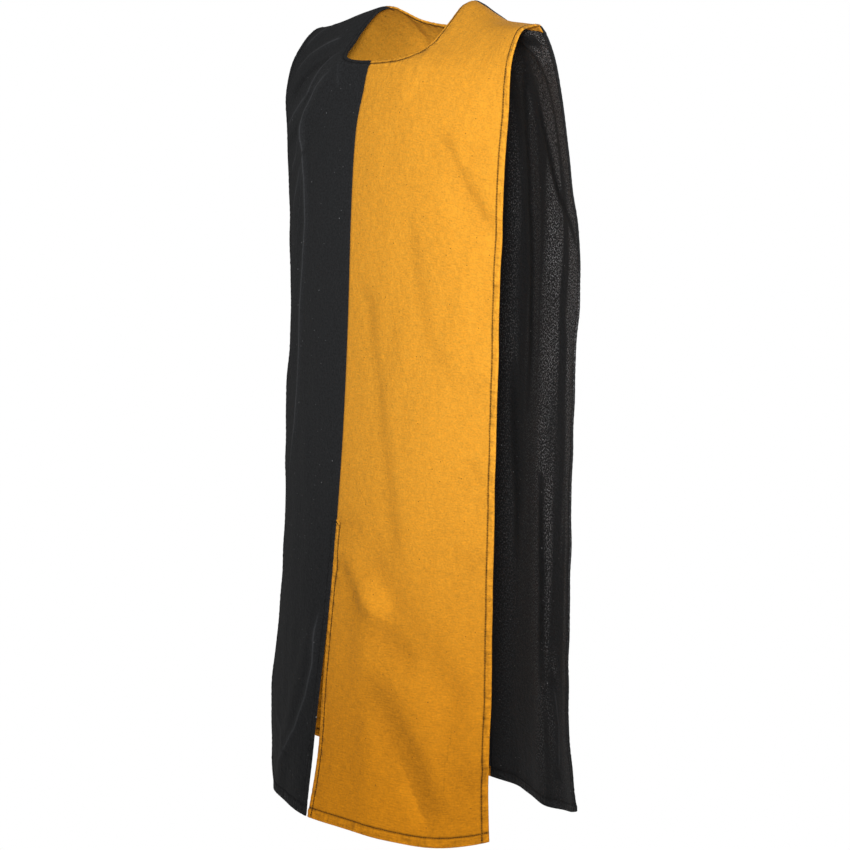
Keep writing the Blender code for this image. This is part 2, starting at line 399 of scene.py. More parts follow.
@dataclass(frozen=True)
class Lay:
    """How a quarter's fine grid of faces is laid over it."""

    fine: float = 0.0010
    fine_reach: float = 0.013
    column_step: float = 0.0034
    row_step: float = 0.0034
    neck_share: float = 0.5
    fan_share: float = 0.35
    fan_start: float = 0.6

    def graded(self, length: float, step: float) -> Array:
        """Shares of a length, close together near both ends.

        Args:
            length: The length to divide.
            step: The distance between two shares away from the ends.

        Returns:
            The shares, from 0 to 1.
        """
        near = np.arange(0.0, self.fine_reach, self.fine)
        inner = length - 2 * self.fine_reach
        middle = self.fine_reach + np.linspace(0.0, inner, round(inner / step) + 1)
        return np.concatenate([near, middle, length - near[::-1]]) / length

    def cloth_points(self, drape: Drape) -> tuple[Array, Array]:
        """The cloth measures of every grid point, with a row for each level.

        Args:
            drape: The quarter's form, which gives its neck edge.

        Returns:
            The across and the down measures, each rows by columns.
        """
        cut = drape.cut
        columns = self.graded(cut.width, self.column_step)
        rows = self.graded(cut.length, self.row_step)
        column, row = np.meshgrid(columns, rows)
        course = 1 - column / self.neck_share
        shoulder = (column - self.neck_share) / (1 - self.neck_share)
        on_neck = column <= self.neck_share
        on_shoulder = cut.neck_half_width + (cut.width - cut.neck_half_width) * shoulder
        top_across = np.where(on_neck, drape.neck.read("across", course), on_shoulder)
        top_down = np.where(on_neck, drape.neck.read("down", course), 0.0)
        even = np.sin(math.pi / 2 * np.minimum(row / self.fan_share, 1.0) ** self.fan_start)
        across = top_across + (cut.width * column - top_across) * even
        return across, top_down + (cut.length - top_down) * row


def closed_shell(
    name: str, outer: Array, inner: Array, flat: Array, marks: dict[str, Array]
) -> bpy.types.Object:
    """A thin closed piece of cloth between two grids of points.

    Args:
        name: The piece's name.
        outer: The outer side's points, rows by columns by 3.
        inner: The inner side's points, in the same order.
        flat: Each point's cloth measures, rows by columns by 2, for the cloth UV map.
        marks: Named values of each point, rows by columns, that the finish reads.

    Returns:
        The new object, with its place in its mesh.
    """
    rows, columns = outer.shape[0] - 1, outer.shape[1] - 1
    shell = bmesh.new()
    at = shell.verts.layers.int.new("at")
    inside = shell.verts.layers.float.new("inside")
    layers = {key: shell.verts.layers.float.new(key) for key in marks}
    cloth = shell.loops.layers.uv.new("cloth")
    grid = bmesh.ops.create_grid(shell, x_segments=columns, y_segments=rows, size=0.5)
    for vertex in grid["verts"]:
        row, column = round((vertex.co.y + 0.5) * rows), round((vertex.co.x + 0.5) * columns)
        vertex[at] = row * (columns + 1) + column
        vertex.co = outer[row, column]
        for key, layer in layers.items():
            vertex[layer] = marks[key][row, column]
    second = bmesh.ops.extrude_face_region(shell, geom=shell.faces[:])
    under = inner.reshape(-1, 3)
    for vertex in second["geom"]:
        if isinstance(vertex, bmesh.types.BMVert):
            vertex.co = under[vertex[at]]
            vertex[inside] = 1.0
    places = flat.reshape(-1, 2)
    for patch in shell.faces:
        for corner in patch.loops:
            corner[cloth].uv = places[corner.vert[at]]
    bmesh.ops.recalc_face_normals(shell, faces=shell.faces[:])
    shell.verts.layers.int.remove(shell.verts.layers.int["at"])
    return finished_piece(name, shell)


def finished_piece(name: str, shape: bmesh.types.BMesh) -> bpy.types.Object:
    """Puts a finished bmesh into the scene as a smooth object that rides on the garment.

    Args:
        name: The piece's name.
        shape: Its mesh, which is used up.

    Returns:
        The new object.
    """
    mesh = bpy.data.meshes.new(name)
    shape.to_mesh(mesh)
    shape.free()
    mesh.shade_smooth()
    piece = bpy.data.objects.new(name, mesh)
    bpy.context.scene.collection.objects.link(piece)
    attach(piece, BODY)
    return piece


@dataclass(frozen=True)
class Hem:
    """An edge that is turned over and stitched down, measured from the fold inwards."""

    stitch: float
    phase: float
    pucker: float = 0.00035
    pucker_period: float = 0.0085
    raised: float = 0.0004
    groove: float = 0.00045
    groove_width: float = 0.0011
    fold_radius: float = 0.0011
    edge_wave: float = 0.0006
    edge_period: float = 0.105
    edge_reach: float = 0.030
    nose: float = 0.9
    band_past: float = 0.003
    band_soft: float = 0.002
    band_least: float = 0.6
    band_puff: float = 0.8
    slant: float = 0.7
    swell_least: float = 0.65
    swell_period: float = 0.060
    gather_middle: float = 0.6
    gather_reach: float = 0.9

    def lift(self, gap: Array, along: Array) -> Array:
        """How far the turned edge stands out.

        Args:
            gap: Distances from the fold.
            along: Distances along the hem.

        Returns:
            The height of the outer side over plain cloth.
        """
        nearness = np.clip(1 - gap / self.fold_radius, 0.0, 1.0)
        fold = -self.nose * self.fold_radius * (1 - np.sqrt(1 - nearness**2 + 1e-9))
        band = smooth_step((self.stitch + self.band_past - gap) / self.band_soft)
        puff = np.sin(math.pi * np.clip(gap / self.stitch, 0, 1))
        puffed = self.raised * band * (self.band_least + self.band_puff * puff)
        sunk = -self.groove * bump_at(gap - self.stitch, self.groove_width)
        small = ripple(along + self.slant * gap, self.pucker_period, self.phase)
        swell = self.swell_least + (1 - self.swell_least) * ripple(
            along, self.swell_period, self.phase + 1.0
        )
        near = bump_at(gap - self.gather_middle * self.stitch, self.gather_reach * self.stitch)
        return fold + puffed + sunk + self.pucker * swell * small * near

    def wave(self, gap: Array, along: Array) -> Array:
        """The long soft waves of a free edge, which fade out into the cloth."""
        wave = self.edge_wave * ripple(along, self.edge_period, self.phase)
        return wave * bump_at(gap, self.edge_reach)


@dataclass
class Quarter:
    """One quarter of the garment: a fine shell of cloth with its turned and sewn edges."""

    name: str
    face: Face
    side: Side
    folds: tuple[Fold, ...]
    creases: tuple[Fold, ...]
    phase: float
    cut: Cut = CUT
    lay: Lay = Lay()
    centre_fade: float = 0.050
    shoulder_fade: float = 0.040
    slit_end: float = 5.0
    swell: float = 0.0009
    swell_period: float = 0.085
    slant: ClothPoint = (0.5, 0.87)
    slant_stretch: float = 2.3
    seam_dip: float = 0.0009
    seam_dip_width: float = 0.0022
    slit_soft: float = 0.004
    crease_fade: float = 0.010
    full_crease: float = 0.002
    crease_reach: float = 0.05
    turned_past: float = 0.0025
    turned_soft: float = 0.0012
    inner_share: float = 0.5
    neck_points: int = 60
    drape: Drape = field(init=False)
    side_hem: Hem = field(init=False)
    low_hem: Hem = field(init=False)
    neck_hem: Hem = field(init=False)
    slit_hem: Hem = field(init=False)

    def __post_init__(self) -> None:
        """Works out the quarter's form and its turned edges."""
        self.drape = Drape(self.face, self.side, self.cut)
        self.side_hem = Hem(self.cut.side_stitch, self.phase)
        self.low_hem = Hem(self.cut.hem_stitch, self.phase + 1.3, edge_wave=0.0)
        self.neck_hem = Hem(self.cut.neck_stitch, self.phase + 2.1, edge_wave=0.0)
        self.slit_hem = Hem(self.cut.slit_stitch, self.phase + 2.9, pucker=0.0005, edge_wave=0.0)

    @property
    def has_slit(self) -> bool:
        """Whether the centre seam opens in a slit."""
        return self.face is Face.FRONT

    def neck_gap(self, across: Array, down: Array) -> tuple[Array, Array]:
        """How far each place is from the neck edge.

        Args:
            across: Cloth measures from the centre seam.
            down: Cloth measures from the shoulder seam.

        Returns:
            The distance from the neck edge, and the distance along it.
        """
        course_x, course_y = self.drape.neck_course(self.neck_points)
        edge = Fold(tuple(zip(course_x, course_y)), 1.0, 0.0)
        gap, share = edge.measure(across, down)
        return np.abs(gap), share * float(np.hypot(np.diff(course_x), np.diff(course_y)).sum())

    def edges(self, across: Array, down: Array) -> list[tuple[Hem, Array, Array]]:
        """Each turned edge with the distances from it and along it.

        Args:
            across: Cloth measures from the centre seam.
            down: Cloth measures from the shoulder seam.

        Returns:
            A hem, the distances from its fold and the distances along it, for each edge.
        """
        gap, along = self.neck_gap(across, down)
        rows = [
            (self.side_hem, self.cut.width - across, down),
            (self.low_hem, self.cut.length - down, across),
            (self.neck_hem, gap, along),
        ]
        if self.has_slit:
            above = self.slit_end * np.maximum(self.cut.slit_top - down, 0.0)
            rows.append((self.slit_hem, np.hypot(across, above), down))
        return rows

    def body_lift(self, across: Array, down: Array) -> Array:
        """The folds, the creases and the uneven swell of the cloth.

        Args:
            across: Cloth measures from the centre seam.
            down: Cloth measures from the shoulder seam.

        Returns:
            How far the cloth stands out of its drape.
        """
        fade = smooth_step(across / self.centre_fade) * smooth_step(down / self.shoulder_fade)
        lift = sum(fold.lift(across, down) for fold in self.folds) * fade
        lift = lift + self.crease_lift(across, down)
        slanted = self.slant[0] * across + self.slant[1] * down
        swell = ripple(across, self.swell_period, self.phase) * ripple(
            slanted, self.slant_stretch * self.swell_period, self.phase + 0.7
        )
        return lift + self.swell * swell * fade

    def crease_lift(self, across: Array, down: Array) -> Array:
        """The small creases, which run out at the sewn edges.

        Args:
            across: Cloth measures from the centre seam.
            down: Cloth measures from the shoulder seam.

        Returns:
            How far the creases lift the cloth.
        """
        near_seam = smooth_step(across / self.crease_fade) * smooth_step(down / self.crease_fade)
        lifts = (fold.lift(across, down) for fold in self.creases)
        return sum(lifts, np.zeros(across.shape)) * near_seam

    def crease_marks(self, across: Array, down: Array) -> dict[str, Array]:
        """Where the nearest crease runs, and how strongly it shows.

        Args:
            across: Cloth measures from the centre seam.
            down: Cloth measures from the shoulder seam.

        Returns:
            The signed distance from it, and its strength, below 0 in a trough.
        """
        gap = np.full(across.shape, FAR)
        strength = np.zeros(across.shape)
        for fold in self.creases:
            here, share = fold.measure(across, down)
            nearer = np.abs(here) < np.abs(gap)
            gap = np.where(nearer, here, gap)
            shown = fold.height / self.full_crease * fold.taper(share)
            strength = np.where(nearer, shown, strength)
        gap = np.clip(gap, -self.crease_reach, self.crease_reach)
        return {"crease_gap": gap, "crease_strength": strength}

    def edge_lift(self, across: Array, down: Array) -> Array:
        """The turned hems, and the dip where a seam is pressed.

        Args:
            across: Cloth measures from the centre seam.
            down: Cloth measures from the shoulder seam.

        Returns:
            How far the outer side stands out, below 0 in a seam.
        """
        lift = np.zeros(across.shape)
        for hem, gap, along in self.edges(across, down):
            lift += hem.lift(gap, along) + hem.wave(gap, along)
        centre = bump_at(across, self.seam_dip_width)
        if self.has_slit:
            centre = centre * smooth_step((self.cut.slit_top - down) / self.slit_soft)
        return lift - self.seam_dip * (centre + bump_at(down, self.seam_dip_width))

    def thickness(self, across: Array, down: Array) -> Array:
        """The cloth's own thickness, with the second layer of each turned edge.

        Args:
            across: Cloth measures from the centre seam.
            down: Cloth measures from the shoulder seam.

        Returns:
            The thickness at each place.
        """
        turned = np.zeros(across.shape)
        for hem, gap, _ in self.edges(across, down):
            band = smooth_step((hem.stitch + self.turned_past - gap) / self.turned_soft)
            turned = np.maximum(turned, band)
        return self.cut.cloth + (self.cut.turned - self.cut.cloth) * turned

    def surface(self, across: Array, down: Array, layer: Layer) -> Array:
        """Points on one side of the cloth.

        Args:
            across: Cloth measures from the centre seam.
            down: Cloth measures from the shoulder seam.
            layer: Which side of the cloth.

        Returns:
            One row of X, Y and Z for each point.
        """
        inward = self.drape.inward(across, down)
        lift = self.body_lift(across, down) + self.edge_lift(across, down)
        depth = -lift
        if layer is Layer.INNER:
            depth = self.thickness(across, down) - self.body_lift(across, down)
            for hem, gap, along in self.edges(across, down):
                depth = depth + hem.lift(gap, along) * self.inner_share - hem.wave(gap, along)
        return self.drape.place(across, down) + inward * depth[..., None]

    def build(self) -> bpy.types.Object:
        """Makes the quarter's shell in place of its plain solid.

        Returns:
            The shell, with its place in its mesh.
        """
        across, down = self.lay.cloth_points(self.drape)
        outer = self.surface(across, down, Layer.OUTER)
        inner = self.surface(across, down, Layer.INNER)
        gaps = [gap - hem.stitch for hem, gap, _ in self.edges(across, down)]
        nearest = np.min(np.abs(np.stack(gaps)), axis=0)
        bare = np.min(np.stack([gap for _, gap, _ in self.edges(across, down)]), axis=0)
        marks = {"stitch_gap": nearest, "edge_gap": bare, **self.crease_marks(across, down)}
        piece = closed_shell(
            self.name + "_cloth", outer, inner, np.stack([across, down], axis=-1), marks
        )
        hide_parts(self.name)
        return piece


GOLD = "gold_cotton"
BLACK = "black_cotton"


@dataclass(frozen=True)
class Topstitching:
    """The rows of stitches that hold a quarter's turned edges down."""

    quarter: Quarter
    pitch: float = 0.0030
    long: float = 0.0027
    thick: float = 0.00115
    lock: float = 1.8
    proud: float = 0.0001
    side_start: float = 0.0035
    clear: float = 0.0015
    seam_clear: float = 0.0008
    slit_slant: float = 0.006
    neck_points: int = 40
    run_points: int = 60

    def courses(self) -> list[list[ClothPoint]]:
        """The path of each row of stitches on the cloth.

        Returns:
            One list of cloth points for each turned edge.
        """
        cut = self.quarter.cut
        side = cut.width - cut.side_stitch
        low = cut.length - cut.hem_stitch
        rows = [
            [(side, self.side_start), (side, cut.length - self.clear)],
            [(self.clear, low), (cut.width - self.clear, low)],
            self.neck_row(),
        ]
        if self.quarter.has_slit:
            inset = cut.slit_stitch
            top, bottom = cut.slit_top, cut.length - self.clear
            rows.append([(self.seam_clear, top), (inset, top + self.slit_slant), (inset, bottom)])
        return rows

    def neck_row(self) -> list[ClothPoint]:
        """The row round the neck, one seam's width inside its edge.

        Returns:
            The row's cloth points, from the shoulder to the centre.
        """
        course_x, course_y = self.quarter.drape.neck_course(self.neck_points)
        run_x, run_y = np.gradient(course_x), np.gradient(course_y)
        size = np.hypot(run_x, run_y)
        inset = self.quarter.cut.neck_stitch
        across = course_x + inset * run_y / size
        down = course_y - inset * run_x / size
        return [(max(x, self.seam_clear), max(y, self.clear)) for x, y in zip(across, down)]

    def laid(self, course: Sequence[ClothPoint], layer: Layer) -> tuple[Array, Array, Array]:
        """Evenly spaced stitch places along a course.

        Args:
            course: The row's path in cloth measures.
            layer: The side of the cloth that the stitches lie on.

        Returns:
            The middle, the direction and the outward normal of each stitch.
        """
        points = np.array(course)
        steps = np.linspace(0.0, len(points) - 1.0, self.run_points * (len(points) - 1) + 1)
        across = np.interp(steps, np.arange(len(points)), points[:, 0])
        down = np.interp(steps, np.arange(len(points)), points[:, 1])
        line = self.quarter.surface(across, down, layer)
        run = np.concatenate([[0.0], np.cumsum(np.linalg.norm(np.diff(line, axis=0), axis=1))])
        middles = np.arange(self.pitch / 2, run[-1], self.pitch)
        ends = [
            self.quarter.surface(
                np.interp(middles + shift, run, across), np.interp(middles + shift, run, down), layer
            )
            for shift in (-self.long / 2, self.long / 2)
        ]
        way = ends[1] - ends[0]
        way /= np.linalg.norm(way, axis=1, keepdims=True)
        out = self.quarter.drape.inward(np.interp(middles, run, across), np.interp(middles, run, down))
        out = -out if layer is Layer.OUTER else out
        return (ends[0] + ends[1]) / 2 + out * self.proud, way, out

    def build(self) -> bpy.types.Object:
        """Makes every stitch of the quarter, on both sides of the cloth, as one piece.

        Returns:
            The piece, with its place in its mesh.
        """
        places = []
        for course in self.courses():
            for layer in Layer:
                middles, ways, outs = self.laid(course, layer)
                for index, (middle, way, out) in enumerate(zip(middles, ways, outs)):
                    locked = index in (0, len(middles) - 1)
                    thick = self.thick * (self.lock if locked else 1.0)
                    turn = np.stack([way * self.long, np.cross(way, out) * thick, out * thick])
                    places.append((middle, turn))
        thread = self.copies(len(places))
        number, corner = (thread.verts.layers.int[key] for key in ("number", "corner"))
        template = [Vector(vertex.co) for vertex in thread.verts if vertex[number] == 0]
        for vertex in thread.verts:
            middle, turn = places[vertex[number]]
            vertex.co = middle + np.array(template[vertex[corner]]) @ turn
        for key in ("number", "corner"):
            thread.verts.layers.int.remove(thread.verts.layers.int[key])
        bmesh.ops.recalc_face_normals(thread, faces=thread.faces[:])
        return finished_piece(self.quarter.name + "_topstitching", thread)

    @staticmethod
    def copies(total: int) -> bmesh.types.BMesh:
        """Round stitches of unit size in one place, each with its number and corner numbers.

        Args:
            total: How many stitches.

        Returns:
            A mesh of that many separate stitches.
        """
        thread = bmesh.new()
        number = thread.verts.layers.int.new("number")
        corner = thread.verts.layers.int.new("corner")
        bmesh.ops.create_uvsphere(thread, u_segments=6, v_segments=4, radius=0.5)
        for index, vertex in enumerate(thread.verts):
            vertex[corner] = index
        count = 1
        while count < total:
            whole = thread.verts[:] + thread.edges[:] + thread.faces[:]
            for item in bmesh.ops.duplicate(thread, geom=whole)["geom"]:
                if isinstance(item, bmesh.types.BMVert):
                    item[number] += count
            count *= 2
        spare = [vertex for vertex in thread.verts if vertex[number] >= total]
        bmesh.ops.delete(thread, geom=spare, context="VERTS")
        return thread


@dataclass(frozen=True)
class SeamAllowance:
    """The cut edge of one quarter, pressed over the inside of the one that it is sewn to."""

    name: str
    start: ClothPoint
    end: ClothPoint
    owner: Quarter
    under: Quarter
    wide: float = 0.0105
    tuck: float = 0.0015
    thick: float = 0.0006
    clear: float = 0.0004
    ragged: float = 0.0005
    ragged_period: float = 0.011
    curl: float = 0.0006
    curl_period: float = 0.045
    change_over: float = 0.0007
    step: float = 0.0030
    columns: int = 11

    def build(self) -> bpy.types.Object:
        """Makes the strip from just inside its own quarter to its raw edge.

        Returns:
            The strip, with its place in its mesh.
        """
        start, end = np.array(self.start), np.array(self.end)
        length = float(np.linalg.norm(end - start))
        run = (end - start) / length
        away = np.array([abs(run[1]), abs(run[0])])
        along = np.linspace(0.0, length, round(length / self.step) + 1)
        reach = np.linspace(-self.tuck, self.wide, self.columns)
        reach, along = np.meshgrid(reach, along)
        raw = smooth_step(reach / self.wide)
        reach = reach + self.ragged * raw * ripple(along, self.ragged_period, 1.7)
        across = start[0] + run[0] * along + away[0] * np.abs(reach)
        down = start[1] + run[1] * along + away[1] * np.abs(reach)
        depth = self.clear + self.curl * raw * (1 + ripple(along, self.curl_period, 0.4))
        sides = []
        for extra in (self.thick, 0.0):
            own = self.points(self.owner, across, down, depth + extra)
            other = self.points(self.under, across, down, depth + extra)
            share = smooth_step((reach + self.change_over) / (2 * self.change_over))[..., None]
            sides.append(own * (1 - share) + other * share)
        flat = np.stack([reach, along], axis=-1)
        far = np.full(along.shape, 1.0)
        marks = {"stitch_gap": far, "edge_gap": far, "crease_gap": far, "crease_strength": 0 * far}
        return closed_shell(self.name, sides[0], sides[1], flat, marks)

    @staticmethod
    def points(quarter: Quarter, across: Array, down: Array, depth: Array) -> Array:
        """Points over the inside of a quarter."""
        inner = quarter.surface(across, down, Layer.INNER)
        return inner + quarter.drape.inward(across, down) * depth[..., None]


@dataclass(frozen=True)
class Pattern:
    """How many spots a metre a pattern on the cloth has each way, and where it starts."""

    across: float
    down: float
    shift: float
    detail: float = 2.0


class Wire:
    """A shader socket that takes arithmetic, each sum as a Math node."""

    def __init__(self, shader: "Shader", socket: bpy.types.NodeSocket) -> None:
        """Wraps one output socket of a shader's node."""
        self.shader = shader
        self.socket = socket

    def sum_with(self, operation: str, first: Any, second: Any = None) -> "Wire":
        """Adds one Math node on the given values or wires."""
        values = {0: first} if second is None else {0: first, 1: second}
        return self.shader.node("ShaderNodeMath", {"operation": operation}, values)

    def __add__(self, other: Any) -> "Wire":
        """This plus another."""
        return self.sum_with("ADD", self, other)

    __radd__ = __add__

    def __sub__(self, other: Any) -> "Wire":
        """This minus another."""
        return self.sum_with("SUBTRACT", self, other)

    def __rsub__(self, other: Any) -> "Wire":
        """Another minus this."""
        return self.sum_with("SUBTRACT", other, self)

    def __mul__(self, other: Any) -> "Wire":
        """This times another."""
        return self.sum_with("MULTIPLY", self, other)

    __rmul__ = __mul__

    def sine(self) -> "Wire":
        """The sine of this."""
        return self.sum_with("SINE", self)

    def size(self) -> "Wire":
        """This without its sign."""
        return self.sum_with("ABSOLUTE", self)

    def above(self, limit: Any) -> "Wire":
        """1 where this is above a limit, and 0 elsewhere."""
        return self.sum_with("GREATER_THAN", self, limit)

    def ramp(self, low: float, high: float) -> "Wire":
        """This from low to high as a smooth 0 to 1. High may be the smaller one."""
        values = {"Value": self, "From Min": low, "From Max": high}
        return self.shader.node("ShaderNodeMapRange", {"interpolation_type": "SMOOTHSTEP"}, values)


class Shader:
    """A material's node tree with one Principled shader."""

    def __init__(self, name: str) -> None:
        """Starts a material.

        Args:
            name: The material's name.
        """
        self.material = bpy.data.materials.new(name)
        self.material.use_nodes = True
        self.tree = self.material.node_tree
        self.principled = self.tree.nodes["Principled BSDF"]

    def node(
        self, kind: str, settings: dict[str, Any], inputs: dict[Any, Any], output: Any = 0
    ) -> Wire:
        """Adds any node.

        Args:
            kind: The node's type.
            settings: The node's own settings, set before its sockets.
            inputs: Values or wires of its sockets, by name or number.
            output: Which output to hand back.

        Returns:
            The chosen output.
        """
        node = self.tree.nodes.new(kind)
        for name, value in settings.items():
            setattr(node, name, value)
        self.feed(node, inputs)
        return Wire(self, node.outputs[output])

    def feed(self, node: bpy.types.Node, inputs: dict[Any, Any]) -> None:
        """Links or sets a node's input sockets.

        Args:
            node: The node.
            inputs: Values or wires of its sockets, by name or number.
        """
        for name, value in inputs.items():
            if isinstance(value, Wire):
                self.tree.links.new(value.socket, node.inputs[name])
            else:
                node.inputs[name].default_value = value

    def mark(self, name: str) -> Wire:
        """One of the mesh's own named values."""
        settings = {"attribute_type": "GEOMETRY", "attribute_name": name}
        return self.node("ShaderNodeAttribute", settings, {}, "Fac")

    def cloth_axis(self, axis: str) -> Wire:
        """The cloth measure from the centre seam (X) or from the shoulder seam (Y)."""
        place = self.node("ShaderNodeUVMap", {"uv_map": "cloth"}, {})
        return self.node("ShaderNodeSeparateXYZ", {}, {0: place}, axis)

    def stretched(self, pattern: Pattern) -> Wire:
        """The cloth measures, moved and scaled for a pattern.

        Args:
            pattern: The pattern.

        Returns:
            Its own coordinates, with one spot to each unit.
        """
        place = self.node("ShaderNodeUVMap", {"uv_map": "cloth"}, {})
        shift = (pattern.shift, pattern.shift, 0.0)
        inputs = {"Vector": place, "Location": shift, "Scale": (pattern.across, pattern.down, 1.0)}
        return self.node("ShaderNodeMapping", {}, inputs)

    def noise(self, pattern: Pattern) -> Wire:
        """Soft noise, 0 to 1."""
        inputs = {"Vector": self.stretched(pattern), "Scale": 1.0, "Detail": pattern.detail}
        return self.node("ShaderNodeTexNoise", {"noise_dimensions": "2D"}, inputs)

    def specks(self, pattern: Pattern, size: float, rare: float) -> Wire:
        """Small dots scattered over the cloth.

        Args:
            pattern: The cells that hold a dot each.
            size: A dot's radius as a share of its cell.
            rare: The share of cells that stay empty.

        Returns:
            1 on a dot and 0 elsewhere.
        """
        inputs = {"Vector": self.stretched(pattern), "Scale": 1.0}
        settings = {"voronoi_dimensions": "2D"}
        gap = self.node("ShaderNodeTexVoronoi", settings, inputs, "Distance")
        tint = self.node("ShaderNodeTexVoronoi", settings, inputs, "Color")
        chance = self.node("ShaderNodeSeparateColor", {}, {"Color": tint}, "Red")
        return gap.ramp(size, size * 0.5) * chance.above(rare)

    def blend(self, share: Any, low: Any, high: Any) -> Wire:
        """A colour between two others."""
        inputs = {"Factor": share, 6: low, 7: high}
        return self.node("ShaderNodeMix", {"data_type": "RGBA"}, inputs, 2)

    def tinted(self, colour: Any, strength: Any) -> Wire:
        """A colour made lighter or darker."""
        inputs = {0: colour, "Scale": strength}
        return self.node("ShaderNodeVectorMath", {"operation": "SCALE"}, inputs)

    def dent(self, height: Wire) -> Wire:
        """The surface's direction over a height in metres."""
        inputs = {"Height": height, "Distance": 1.0, "Strength": 1.0}
        return self.node("ShaderNodeBump", {}, inputs)

    def dress(self, inputs: dict[Any, Any]) -> bpy.types.Material:
        """Feeds the Principled shader and hands the material back."""
        self.feed(self.principled, inputs)
        return self.material


def solid(colour: Colour) -> tuple[float, float, float, float]:
    """A colour with no transparency."""
    return (*colour, 1.0)


PATCHES = Pattern(9.0, 5.0, 3.0)
CLOUDS = Pattern(85.0, 110.0, 5.0, 3.0)
GRAIN = Pattern(330.0, 420.0, 1.0, 4.0)
SLUBS = Pattern(85.0, 700.0, 9.0)
DOTS = Pattern(150.0, 170.0, 2.0)
FIBRES = Pattern(90.0, 420.0, 7.0)
BANDS = Pattern(24.0, 2.0, 12.0)
POINTS = Pattern(560.0, 430.0, 4.0)
CRUMPLES = Pattern(130.0, 110.0, 6.0, 3.0)
SIDE_GATHERS = Pattern(40.0, 150.0, 15.0, 1.0)
HEM_GATHERS = Pattern(150.0, 60.0, 21.0, 1.0)


